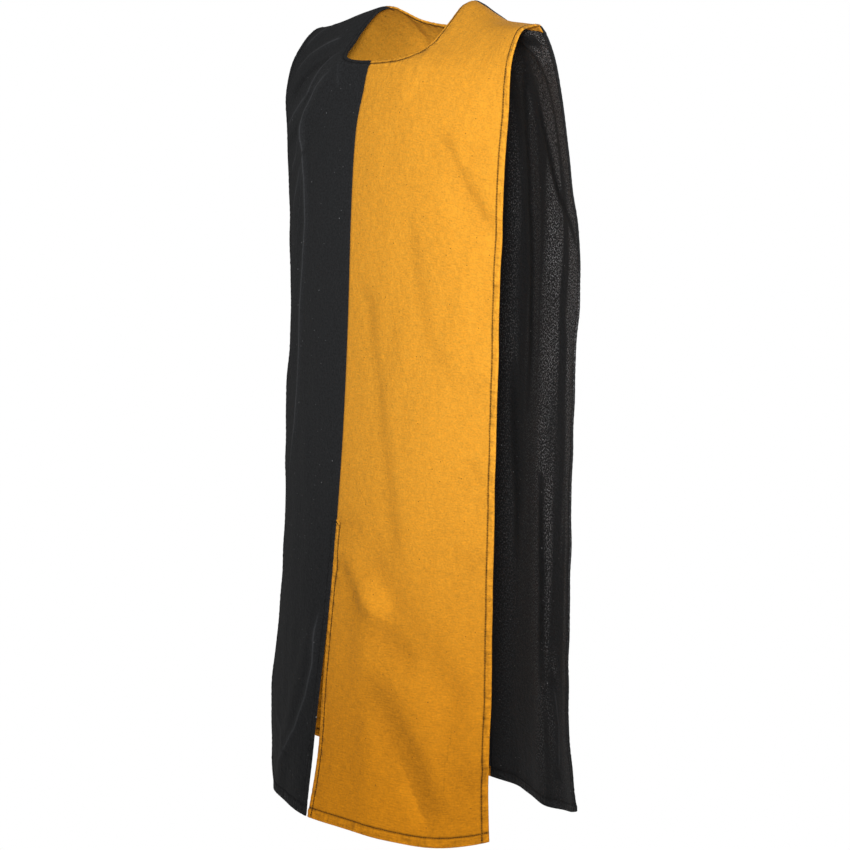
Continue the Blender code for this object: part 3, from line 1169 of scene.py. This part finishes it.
@dataclass(frozen=True)
class CottonFinish:
    """A matt plain-weave cotton with its slubs, specks and pressed edges, and painted light and shade
    on its creases, edges, stitch rows and puckers and toward the hem.
    """

    name: str
    colour: Colour
    deep: Colour
    # low: the colour of the painted shade toward the hem
    low: Colour
    speck: Colour
    specks: float
    fibres: float
    grain: float
    slub: float
    # crease: strength of the lighter lines along crease ridges, part painted highlight and part
    # pressing wear
    crease: float
    # Painted light and shade beside each crease, with the width of its band below
    crease_light_and_shade: float
    crease_light_and_shade_width: float
    # seam: strength of the painted shadow in the groove of each stitch row
    seam: float
    roughness: float
    sheen: float
    sheen_tint: Colour
    thread: float = 0.00072
    shine: float = 0.15
    # Strength of the painted glints on the wrong side; 0 leaves them out
    painted_glint_share: float = 0.0
    painted_glint_colour: Colour = (0.50, 0.50, 0.51)
    glitter_bands: Span = (0.34, 0.56)
    glitter_points: Span = (0.54, 0.70)
    glitter_off_crease: Span = (0.0040, 0.0160)
    glitter_across: Span = (0.10, 0.17)
    glitter_down: Span = (1.20, 0.35)
    glitter_least: float = 0.25
    clouds: float = 0.20
    patches: float = 0.10
    slub_deep: Span = (0.35, 0.7)
    # Where the painted shade toward the hem starts and where it is full
    hem_shade_down: Span = (0.50, 1.10)
    ridge_highlight_line: Span = (0.0030, 0.0002)
    stitch_shade_line: Span = (0.0026, 0.0003)
    # Painted highlight along the rolled fold of each turned edge: its reach and strength
    edge_highlight_line: Span = (0.0030, 0.0)
    edge_highlight: float = 0.08
    # Strength of the painted light and shade of the puckers along the turned edges
    pucker_light_and_shade: float = 0.80
    gather_band: Span = (0.0150, 0.0070)
    side_share: float = 0.6
    speck_size: float = 0.16
    dot_tone: float = 0.8
    fibre_tone: float = 0.4
    rough_grain: float = 0.10
    weave_height: float = 0.00004
    grain_height: float = 0.00030
    slub_height: float = 0.00030
    crumple_height: float = 0.0010
    gather_height: float = 0.0055

    def material(self) -> bpy.types.Material:
        """Makes the cloth's material.

        Returns:
            The material.
        """
        shader = Shader(self.name)
        patches = shader.noise(PATCHES)
        clouds = shader.noise(CLOUDS)
        grain = shader.noise(GRAIN)
        slub = shader.noise(SLUBS)
        tone = 1.0 + self.grain * (grain - 0.5) + self.slub * (slub - 0.5)
        tone = tone + self.clouds * (clouds - 0.5) + self.patches * (patches - 0.5)
        gap, strength = shader.mark("crease_gap").size(), shader.mark("crease_strength")
        # Lighter lines along crease ridges: part painted highlight, part pressing wear.
        tone = tone + self.crease * strength.ramp(0.0, 1.0) * gap.ramp(*self.ridge_highlight_line)
        # Painted light and shade in a broad band beside each crease: lighter on ridges, darker in
        # troughs.
        tone = tone + self.crease_light_and_shade * strength * gap.ramp(self.crease_light_and_shade_width, 0.0)
        # Painted shadow in the groove along each row of stitches.
        sewn = shader.mark("stitch_gap").ramp(*self.stitch_shade_line)
        # Painted highlight along the rolled fold of each turned edge.
        fold = shader.mark("edge_gap").ramp(*self.edge_highlight_line)
        tone = tone - self.seam * sewn + self.edge_highlight * fold
        # Painted light and shade of the puckers along the turned edges, over their bumps.
        tone = tone + self.pucker_light_and_shade * self.gathers(shader)
        hue = shader.blend(slub.ramp(*self.slub_deep), solid(self.colour), solid(self.deep))
        # Painted shade: the cloth darkens and deepens in colour toward the hem.
        hue = shader.blend(shader.cloth_axis("Y").ramp(*self.hem_shade_down), hue, solid(self.low))
        base = shader.tinted(hue, tone)
        dots = shader.specks(DOTS, self.speck_size, 1 - self.specks)
        fibres = shader.specks(FIBRES, self.speck_size, 1 - self.fibres)
        pale = dots * self.dot_tone + fibres * self.fibre_tone
        base = shader.blend(pale, base, solid(self.speck))
        if self.painted_glint_share:
            base = self.painted_glints_over(shader, base)
        inputs = {
            "Base Color": base,
            "Roughness": self.roughness + self.rough_grain * (grain - 0.5),
            "Sheen Weight": self.sheen,
            "Sheen Roughness": 0.5,
            "Sheen Tint": solid(self.sheen_tint),
            "Specular IOR Level": self.shine,
            "Normal": shader.dent(self.relief(shader, grain, slub)),
        }
        return shader.dress(inputs)

    def painted_glints_over(self, shader: Shader, base: Wire) -> Wire:
        """Painted glints: pale points in bands on the wrong side that stand in for light caught by the
        weave.

        Args:
            shader: The cloth's shader.
            base: The cloth's own colour.

        Returns:
            The colour with the bands over it.
        """
        bands = shader.noise(BANDS).ramp(*self.glitter_bands)
        bands = bands * shader.mark("crease_gap").size().ramp(*self.glitter_off_crease)
        points = shader.noise(POINTS).ramp(*self.glitter_points)
        outer = shader.cloth_axis("X").ramp(*self.glitter_across)
        bands = bands * (self.glitter_least + (1 - self.glitter_least) * outer)
        high = shader.cloth_axis("Y").ramp(*self.glitter_down)
        # Painted glints: on the inner side only, kept off creases, stronger further out and higher up.
        share = bands * points * shader.mark("inside") * high * self.painted_glint_share
        return shader.blend(share, base, solid(self.painted_glint_colour))

    def relief(self, shader: Shader, grain: Wire, slub: Wire) -> Wire:
        """The height of the weave, its slubs and the small crumples.

        Args:
            shader: The cloth's shader.
            grain: The fine noise of the weave.
            slub: The noise of the thick threads.

        Returns:
            The height in metres.
        """
        warp = (shader.cloth_axis("X") * (math.pi / self.thread)).sine()
        weft = (shader.cloth_axis("Y") * (math.pi / self.thread)).sine()
        height = warp * weft * self.weave_height
        height = height + grain * self.grain_height + slub * self.slub_height
        height = height + shader.noise(CRUMPLES) * self.crumple_height
        return height + self.gathers(shader) * self.gather_height

    def gathers(self, shader: Shader) -> Wire:
        """The small puckers of a turned edge, which fade out past its stitches.

        Args:
            shader: The cloth's shader.

        Returns:
            -0.5 to 0.5 near the edge, and 0 elsewhere.
        """
        side = self.side_share * shader.noise(SIDE_GATHERS)
        hem = (1 - self.side_share) * shader.noise(HEM_GATHERS)
        return (side + hem - 0.5) * shader.mark("edge_gap").ramp(*self.gather_band)


@dataclass(frozen=True)
class ThreadFinish:
    """The sewing thread: two plies twisted round each other."""

    name: str
    colour: Colour
    roughness: float = 0.7
    fuzz_scale: float = 1400.0
    fuzz_height: float = 0.0001
    shine: float = 0.10

    def material(self) -> bpy.types.Material:
        """Makes the thread's material.

        Returns:
            The material.
        """
        shader = Shader(self.name)
        place = shader.node("ShaderNodeTexCoord", {}, {}, "Object")
        scaled = {"Vector": place, "Scale": self.fuzz_scale, "Detail": 1.0}
        fuzz = shader.node("ShaderNodeTexNoise", {}, scaled)
        inputs = {
            "Base Color": shader.tinted(self.colour, 0.7 + 0.6 * fuzz),
            "Roughness": self.roughness + 0.2 * (fuzz - 0.5),
            "Specular IOR Level": self.shine,
            "Normal": shader.dent(fuzz * self.fuzz_height),
        }
        return shader.dress(inputs)


GOLD_FINISH = CottonFinish(
    name=GOLD,
    colour=(0.810, 0.357, 0.0300),
    deep=(0.775, 0.325, 0.0230),
    # Painted shade at the hem
    low=(0.555, 0.202, 0.0036),
    speck=(0.160, 0.060, 0.008),
    specks=0.014,
    fibres=0.05,
    grain=0.47,
    slub=0.44,
    crease=0.02,
    crease_light_and_shade=0.10,
    crease_light_and_shade_width=0.034,
    seam=0.45,
    roughness=0.85,
    sheen=0.04,
    sheen_tint=(1.0, 0.75, 0.35),
)
BLACK_FINISH = CottonFinish(
    name=BLACK,
    colour=(0.0222, 0.0229, 0.0243),
    deep=(0.0178, 0.0184, 0.0198),
    # Painted shade at the hem
    low=(0.0098, 0.0101, 0.0109),
    speck=(0.350, 0.350, 0.360),
    specks=0.0035,
    fibres=0.012,
    grain=1.70,
    slub=0.90,
    crease=1.70,
    crease_light_and_shade=0.42,
    crease_light_and_shade_width=0.016,
    seam=0.30,
    roughness=0.78,
    sheen=0.02,
    sheen_tint=(1.0, 1.0, 1.0),
    shine=0.10,
    painted_glint_share=0.9,
)
DARK_THREAD = ThreadFinish(name="dark_thread", colour=(0.014, 0.008, 0.005))
BLACK_THREAD = ThreadFinish(name="black_thread", colour=(0.012, 0.012, 0.013))


FRONT_RIGHT = Quarter(
    name="front_right",
    face=Face.FRONT,
    side=Side.RIGHT,
    phase=0.4,
    folds=(
        Fold(((0.080, 0.130), (0.160, 0.200)), 0.022, 0.004, False),
        Fold(((0.160, 0.200), (0.190, 0.500)), 0.026, 0.004, False),
        Fold(((0.172, 0.070), (0.235, 0.120)), 0.022, 0.003, False),
        Fold(((0.100, 0.195), (0.235, 0.240)), 0.024, -0.003, False),
        Fold(((0.030, 0.850), (0.134, 1.074)), 0.026, 0.004, False),
    ),
    creases=(
        Fold(
            (
                (0.088, 0.112), (0.094, 0.129), (0.132, 0.146), (0.153, 0.170), (0.153, 0.208),
                (0.135, 0.263), (0.130, 0.316), (0.140, 0.375), (0.152, 0.435), (0.152, 0.500),
                (0.160, 0.590), (0.188, 0.651), (0.195, 0.715),
            ),
            0.006, 0.0020,
        ),
        Fold(
            ((0.145, 0.225), (0.161, 0.267), (0.182, 0.295), (0.215, 0.400), (0.231, 0.471)),
            0.006, 0.0012,
        ),
        Fold(((0.104, 0.087), (0.130, 0.117), (0.150, 0.134), (0.168, 0.156)), 0.005, 0.0014),
        Fold(((0.135, 0.058), (0.165, 0.066), (0.210, 0.074), (0.248, 0.104)), 0.006, 0.0015),
        Fold(((0.205, 0.012), (0.232, 0.026), (0.252, 0.055)), 0.006, 0.0012),
        Fold(((0.154, 0.146), (0.211, 0.162), (0.254, 0.178)), 0.006, 0.0014),
        Fold(((0.158, 0.204), (0.195, 0.222), (0.240, 0.243)), 0.006, 0.0012),
        Fold(((0.118, 0.100), (0.170, 0.112), (0.235, 0.142)), 0.007, -0.0016),
        Fold(((0.170, 0.182), (0.205, 0.192), (0.250, 0.206)), 0.007, -0.0014),
        Fold(((0.083, 0.106), (0.068, 0.131), (0.060, 0.156)), 0.006, 0.0005),
        Fold(
            (
                (0.019, 0.800), (0.025, 0.847), (0.022, 0.889), (0.033, 0.931), (0.059, 0.979),
                (0.096, 1.015), (0.150, 1.058),
            ),
            0.006, 0.0019,
        ),
        Fold(((0.192, 0.979), (0.130, 0.998), (0.089, 1.020)), 0.006, 0.0010),
    ),
)
FRONT_LEFT = Quarter(
    name="front_left",
    face=Face.FRONT,
    side=Side.LEFT,
    phase=1.9,
    folds=(
        Fold(((0.210, 0.270), (0.265, 0.310)), 0.022, -0.003, False),
        Fold(((0.076, 0.750), (0.205, 0.890)), 0.030, -0.005, False),
        Fold(((0.073, 0.800), (0.114, 1.074)), 0.026, 0.005, False),
        Fold(((0.205, 0.900), (0.225, 1.074)), 0.026, -0.004, False),
    ),
    creases=(
        Fold(
            ((0.147, 0.196), (0.181, 0.213), (0.213, 0.260), (0.238, 0.286), (0.263, 0.314)),
            0.009, -0.0022,
        ),
        Fold(
            ((0.113, 0.292), (0.129, 0.355), (0.154, 0.451), (0.180, 0.480), (0.218, 0.526)),
            0.012, -0.0014,
        ),
        Fold(
            (
                (0.008, 0.385), (0.044, 0.423), (0.058, 0.493), (0.078, 0.570), (0.093, 0.636),
                (0.113, 0.712), (0.128, 0.764),
            ),
            0.013, -0.0022,
        ),
        Fold(((0.001, 0.702), (0.012, 0.703), (0.031, 0.702), (0.063, 0.712)), 0.005, -0.0014),
        Fold(
            (
                (0.005, 0.735), (0.016, 0.757), (0.035, 0.777), (0.059, 0.806), (0.088, 0.823),
                (0.114, 0.830), (0.144, 0.855), (0.155, 0.890),
            ),
            0.013, -0.0034,
        ),
        Fold(
            (
                (0.075, 0.872), (0.112, 0.911), (0.133, 0.942), (0.161, 0.977), (0.185, 1.023),
                (0.213, 1.060),
            ),
            0.019, -0.0046,
        ),
        Fold(((0.060, 0.760), (0.090, 0.790), (0.115, 0.800)), 0.016, 0.0022),
        Fold(((0.140, 1.000), (0.160, 1.030), (0.180, 1.058)), 0.014, 0.0022),
        Fold(((0.226, 0.596), (0.240, 0.614), (0.252, 0.627)), 0.006, -0.0012),
        Fold(((0.228, 0.737), (0.243, 0.720), (0.256, 0.706)), 0.006, -0.0014),
        Fold(((0.238, 0.652), (0.252, 0.650), (0.264, 0.649)), 0.004, -0.0008),
        Fold(((0.269, 0.980), (0.262, 0.988), (0.249, 0.997), (0.234, 1.012)), 0.007, -0.0024),
        Fold(((0.230, 0.514), (0.242, 0.500), (0.254, 0.484)), 0.007, -0.0012),
        Fold(((0.206, 0.219), (0.230, 0.213), (0.252, 0.210)), 0.008, -0.0009),
        Fold(((0.120, 0.120), (0.100, 0.150), (0.080, 0.165)), 0.010, 0.0008),
    ),
)
BACK_RIGHT = Quarter(
    name="back_right",
    face=Face.BACK,
    side=Side.RIGHT,
    phase=3.1,
    folds=(
        Fold(((0.050, 0.220), (0.070, 1.074)), 0.034, 0.005, False),
        Fold(((0.140, 0.240), (0.165, 1.074)), 0.036, -0.005, False),
        Fold(((0.225, 0.400), (0.220, 1.074)), 0.030, 0.004, False),
    ),
    creases=(
        Fold(((0.085, 0.070), (0.130, 0.110), (0.160, 0.190)), 0.009, 0.0018),
        Fold(((0.180, 0.060), (0.205, 0.120), (0.215, 0.220)), 0.009, 0.0016),
        Fold(((0.070, 0.560), (0.110, 0.610), (0.150, 0.640)), 0.011, -0.0016),
        Fold(((0.050, 0.860), (0.070, 0.950), (0.075, 1.050)), 0.010, 0.0015),
    ),
)
BACK_LEFT = Quarter(
    name="back_left",
    face=Face.BACK,
    side=Side.LEFT,
    phase=4.6,
    folds=(
        Fold(((0.040, 0.200), (0.050, 1.074)), 0.034, 0.005, False),
        Fold(((0.125, 0.260), (0.160, 1.074)), 0.036, -0.006, False),
        Fold(((0.215, 0.450), (0.210, 1.074)), 0.030, 0.005, False),
    ),
    creases=(
        Fold(
            (
                (0.150, 0.050), (0.085, 0.150), (0.066, 0.210), (0.070, 0.300), (0.085, 0.406),
                (0.093, 0.486), (0.085, 0.560),
            ),
            0.010, -0.0024,
        ),
        Fold(
            ((0.114, 0.146), (0.129, 0.189), (0.146, 0.221), (0.176, 0.261), (0.236, 0.283)),
            0.007, -0.0020,
        ),
        Fold(((0.040, 0.520), (0.048, 0.617), (0.059, 0.697), (0.060, 0.760)), 0.009, -0.0018),
        Fold(((0.150, 0.640), (0.160, 0.760), (0.165, 0.900)), 0.010, -0.0018),
        Fold(((0.190, 0.900), (0.205, 0.960), (0.200, 1.030)), 0.010, 0.0014),
        Fold(((0.075, 0.032), (0.115, 0.030), (0.160, 0.028), (0.225, 0.030)), 0.024, -0.0045),
    ),
)


@dataclass(frozen=True)
class Tabard:
    """The whole garment: four quarters, their topstitching and the seams inside."""

    cut: Cut = CUT
    areas: tuple[tuple[str, float], ...] = (("front", 0.279), ("back", 0.284))
    neck_clear: float = 0.003
    side_clear: float = 0.001
    front_seam_top: float = 0.121
    back_seam_top: float = 0.067
    back_seam_end: float = 1.060

    def build(self) -> None:
        """Makes and dresses every piece."""
        cloths = {GOLD: GOLD_FINISH.material(), BLACK: BLACK_FINISH.material()}
        threads = {GOLD: DARK_THREAD.material(), BLACK: BLACK_THREAD.material()}
        worn = {"front_right": BLACK, "front_left": GOLD, "back_right": GOLD, "back_left": BLACK}
        seams = self.seams(cloths, worn)
        for quarter in (FRONT_RIGHT, FRONT_LEFT, BACK_RIGHT, BACK_LEFT):
            cloth = worn[quarter.name]
            shell = quarter.build()
            shell.data.materials.append(cloths[cloth])
            stitches = Topstitching(quarter).build()
            stitches.data.materials.append(threads[cloth])
            LOG.info("%s: %d faces and its stitches", quarter.name, len(shell.data.polygons))

    def seams(
        self, cloths: dict[str, bpy.types.Material], worn: dict[str, str]
    ) -> dict[str, list[bpy.types.Object]]:
        """The pressed seam allowances.

        Args:
            cloths: The material of each cloth.
            worn: Which cloth each quarter is made of.

        Returns:
            The strips, by the quarter that they belong to.
        """
        cut = self.cut
        shoulder = (cut.neck_half_width + self.neck_clear, 0.0), (cut.width - self.side_clear, 0.0)
        front = (0.0, self.front_seam_top), (0.0, cut.slit_top)
        back = (0.0, self.back_seam_top), (0.0, self.back_seam_end)
        strips = (
            SeamAllowance("shoulder_seam_left", *shoulder, FRONT_LEFT, BACK_LEFT),
            SeamAllowance("shoulder_seam_right", *shoulder, FRONT_RIGHT, BACK_RIGHT),
            SeamAllowance("centre_front_seam", *front, FRONT_RIGHT, FRONT_LEFT),
            SeamAllowance("centre_back_seam", *back, BACK_LEFT, BACK_RIGHT),
        )
        made: dict[str, list[bpy.types.Object]] = {}
        for strip in strips:
            piece = strip.build()
            cloth = worn[strip.owner.name]
            piece.data.materials.append(cloths[cloth])
            made.setdefault(strip.owner.name, []).append(piece)
            LOG.info("%s: %d faces", piece.name, len(piece.data.polygons))
        return made


@dataclass(frozen=True)
class Studio:
    """A plain pale room, soft light and the camera at the photograph's angle."""

    target: Place = (-0.0037, -0.0053, -0.539)
    chest: Place = (0.0, -0.10, -0.15)
    azimuth: float = 55.0
    pitch: float = 7.0
    distance: float = 3.224
    focal: float = 2494.0
    image: float = 850.0
    sensor: float = 36.0
    floor_z: float = -1.450
    floor_size: float = 60.0
    ambient: float = 0.15
    key_place: Place = (0.60, -1.10, 0.62)
    key_size: float = 1.0
    key_power: float = 6.5
    fill_place: Place = (1.79, -1.29, 0.0)
    fill_size: float = 0.20
    fill_power: float = 36.5
    back_place: Place = (-0.60, 1.75, 0.35)
    back_size: float = 1.1
    back_power: float = 34.0
    white: Colour = (1.0, 1.0, 1.0)
    floor_colour: Colour = (0.85, 0.85, 0.85)
    floor_roughness: float = 0.9
    far_clip: float = 200.0

    def build(self) -> None:
        """Sets the whole studio up."""
        self.floor()
        self.world()
        self.soft_light("key", self.key_place, self.key_size, self.key_power)
        self.soft_light("fill", self.fill_place, self.fill_size, self.fill_power)
        self.soft_light("back", self.back_place, self.back_size, self.back_power)
        self.camera()
        LOG.info("studio: floor, world, three soft lights and camera")

    def seen_white(self, tree: bpy.types.NodeTree, lit: bpy.types.NodeSocket) -> bpy.types.Node:
        """A Mix Shader that shows plain white to the eye and the lit shader to the rest.

        Args:
            tree: The node tree that it is added to.
            lit: The lit shader's output.

        Returns:
            The Mix Shader node.
        """
        path = tree.nodes.new("ShaderNodeLightPath")
        white = tree.nodes.new("ShaderNodeEmission")
        white.inputs["Color"].default_value = solid(self.white)
        mix = tree.nodes.new("ShaderNodeMixShader")
        tree.links.new(path.outputs["Is Camera Ray"], mix.inputs["Fac"])
        tree.links.new(lit, mix.inputs[1])
        tree.links.new(white.outputs[0], mix.inputs[2])
        return mix

    def floor(self) -> None:
        """A plain pale floor well below the hem."""
        plane = bmesh.new()
        low = Matrix.Translation((0.0, 0.0, self.floor_z))
        bmesh.ops.create_grid(plane, x_segments=1, y_segments=1, size=self.floor_size / 2, matrix=low)
        mesh = bpy.data.meshes.new("floor")
        plane.to_mesh(mesh)
        plane.free()
        floor = bpy.data.objects.new("floor", mesh)
        bpy.context.scene.collection.objects.link(floor)
        shader = Shader("pale_floor")
        paint = {"Base Color": solid(self.floor_colour), "Roughness": self.floor_roughness}
        material = shader.dress(paint)
        mix = self.seen_white(shader.tree, shader.principled.outputs[0])
        shader.tree.links.new(mix.outputs[0], shader.tree.nodes["Material Output"].inputs[0])
        mesh.materials.append(material)

    def world(self) -> None:
        """Even light from all round, and a white background."""
        world = bpy.data.worlds.new("studio")
        world.use_nodes = True
        tree = world.node_tree
        background = tree.nodes["Background"]
        background.inputs["Color"].default_value = solid(self.white)
        background.inputs["Strength"].default_value = self.ambient
        mix = self.seen_white(tree, background.outputs[0])
        tree.links.new(mix.outputs[0], tree.nodes["World Output"].inputs[0])
        bpy.context.scene.world = world

    def soft_light(self, name: str, place: Place, size: float, power: float) -> None:
        """A soft square light that faces the chest.

        Args:
            name: The light's name.
            place: Where it stands.
            size: The length of its side.
            power: Its power in watts.
        """
        light = bpy.data.lights.new(name, "AREA")
        light.shape = "SQUARE"
        light.size = size
        light.energy = power
        lamp = bpy.data.objects.new(name, light)
        lamp.location = place
        aim = Vector(self.chest) - Vector(place)
        lamp.rotation_mode = "QUATERNION"
        lamp.rotation_quaternion = aim.to_track_quat("-Z", "Y")
        bpy.context.scene.collection.objects.link(lamp)

    def camera(self) -> None:
        """The photograph's viewpoint."""
        turn, tilt = math.radians(self.azimuth), math.radians(self.pitch)
        level = math.cos(tilt)
        back = Vector((math.sin(turn) * level, -math.cos(turn) * level, math.sin(tilt)))
        lens = bpy.data.cameras.new("camera")
        lens.sensor_width = self.sensor
        lens.lens = self.focal / self.image * self.sensor
        lens.clip_end = self.far_clip
        camera = bpy.data.objects.new("camera", lens)
        camera.location = Vector(self.target) + back * self.distance
        camera.rotation_mode = "QUATERNION"
        camera.rotation_quaternion = (-back).to_track_quat("-Z", "Y")
        bpy.context.scene.collection.objects.link(camera)
        bpy.context.scene.camera = camera
        bpy.context.scene.view_settings.view_transform = "Standard"


def note_sizes() -> None:
    """Brings the scene's object places up to date."""
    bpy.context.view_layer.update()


def main() -> None:
    """Builds the studio and the tabard."""
    logging.basicConfig(level=logging.INFO, format="%(name)s: %(message)s")
    Studio().build()
    Tabard().build()
    note_sizes()


if __name__ == "__main__":
    main()
